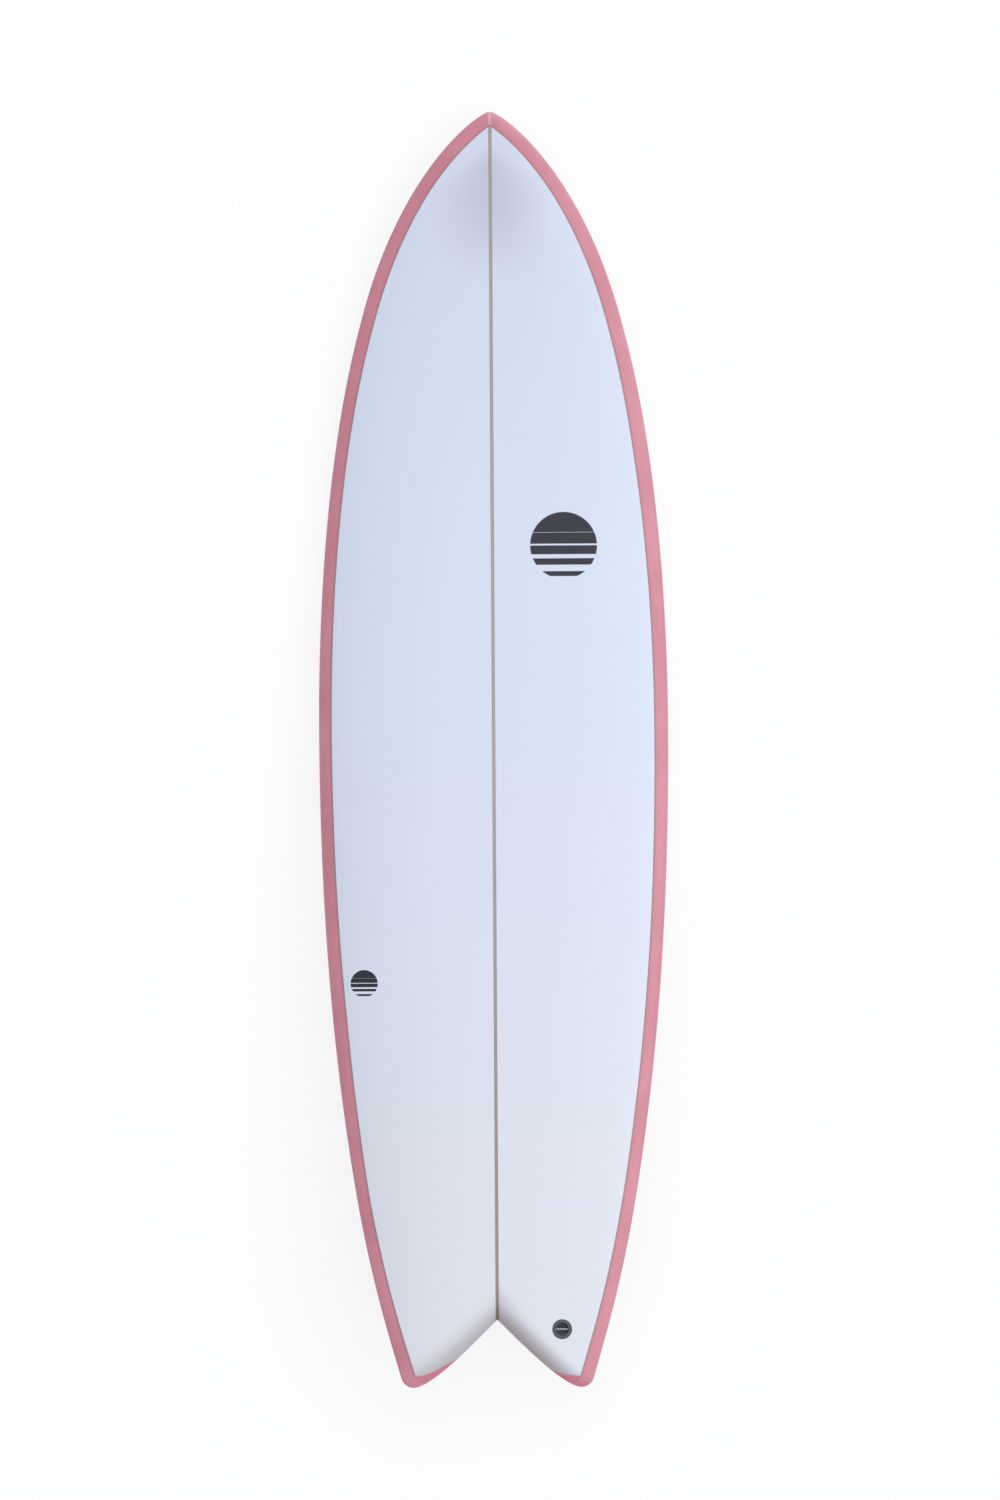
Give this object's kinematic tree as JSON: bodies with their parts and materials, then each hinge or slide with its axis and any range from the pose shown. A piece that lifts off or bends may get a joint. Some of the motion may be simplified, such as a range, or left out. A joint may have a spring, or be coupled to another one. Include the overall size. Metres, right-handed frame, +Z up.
{
  "type": "surfboard",
  "caption": "Fish surfboard with swallow tail, domed deck, tinted rails and bottom, foam core with a wood stringer, leash plug, and keel fins held in plugs by grub screws.",
  "frame": {"origin": "middle of the board's box, on the surface that it rests on with fin tips and belly", "axes": "+Y towards the nose, +X to the right seen from the deck, +Z up"},
  "size_m": [0.5012, 1.8278, 0.1566],
  "materials": {
    "deck_glass": "gloss",
    "tinted_glass": "gloss",
    "foam": "matte",
    "stringer_wood": "matte",
    "leash_plastic": "satin",
    "leash_bar_metal": "satin",
    "fin_composite": "satin",
    "plug_plastic": "satin",
    "screw_steel": "satin"
  },
  "bodies": {
    "board": {"deck_glass": "deck_glass", "bottom_glass": "tinted_glass", "blank_left": "foam", "blank_right": "foam", "stringer": "stringer_wood", "leash_cup": "leash_plastic", "leash_bar": "leash_bar_metal", "fin_plug_left_front": "plug_plastic", "fin_plug_left_rear": "plug_plastic", "fin_plug_right_front": "plug_plastic", "fin_plug_right_rear": "plug_plastic"},
    "left_fin": {"fin_left": "fin_composite"},
    "right_fin": {"fin_right": "fin_composite"},
    "left_front_screw": {"fin_screw_left_front": "screw_steel"},
    "left_rear_screw": {"fin_screw_left_rear": "screw_steel"},
    "right_front_screw": {"fin_screw_right_front": "screw_steel"},
    "right_rear_screw": {"fin_screw_right_rear": "screw_steel"}
  },
  "joints": [
    {"name": "left_fin_pull", "type": "slide", "parent": "board", "child": "left_fin", "axis": [-0.0554, -0.1673, -0.9843], "range_m": [0, 0.0135]},
    {"name": "right_fin_pull", "type": "slide", "parent": "board", "child": "right_fin", "axis": [0.0554, -0.1673, -0.9843], "range_m": [0, 0.0135]},
    {"name": "left_front_screw_out", "type": "slide", "parent": "board", "child": "left_front_screw", "axis": [0.5269, -0.1621, -0.8343], "range_m": [0, 0.005]},
    {"name": "left_rear_screw_out", "type": "slide", "parent": "board", "child": "left_rear_screw", "axis": [0.5269, -0.1621, -0.8343], "range_m": [0, 0.005]},
    {"name": "right_front_screw_out", "type": "slide", "parent": "board", "child": "right_front_screw", "axis": [-0.5269, -0.1621, -0.8343], "range_m": [0, 0.005]},
    {"name": "right_rear_screw_out", "type": "slide", "parent": "board", "child": "right_rear_screw", "axis": [-0.5269, -0.1621, -0.8343], "range_m": [0, 0.005]}
  ]
}
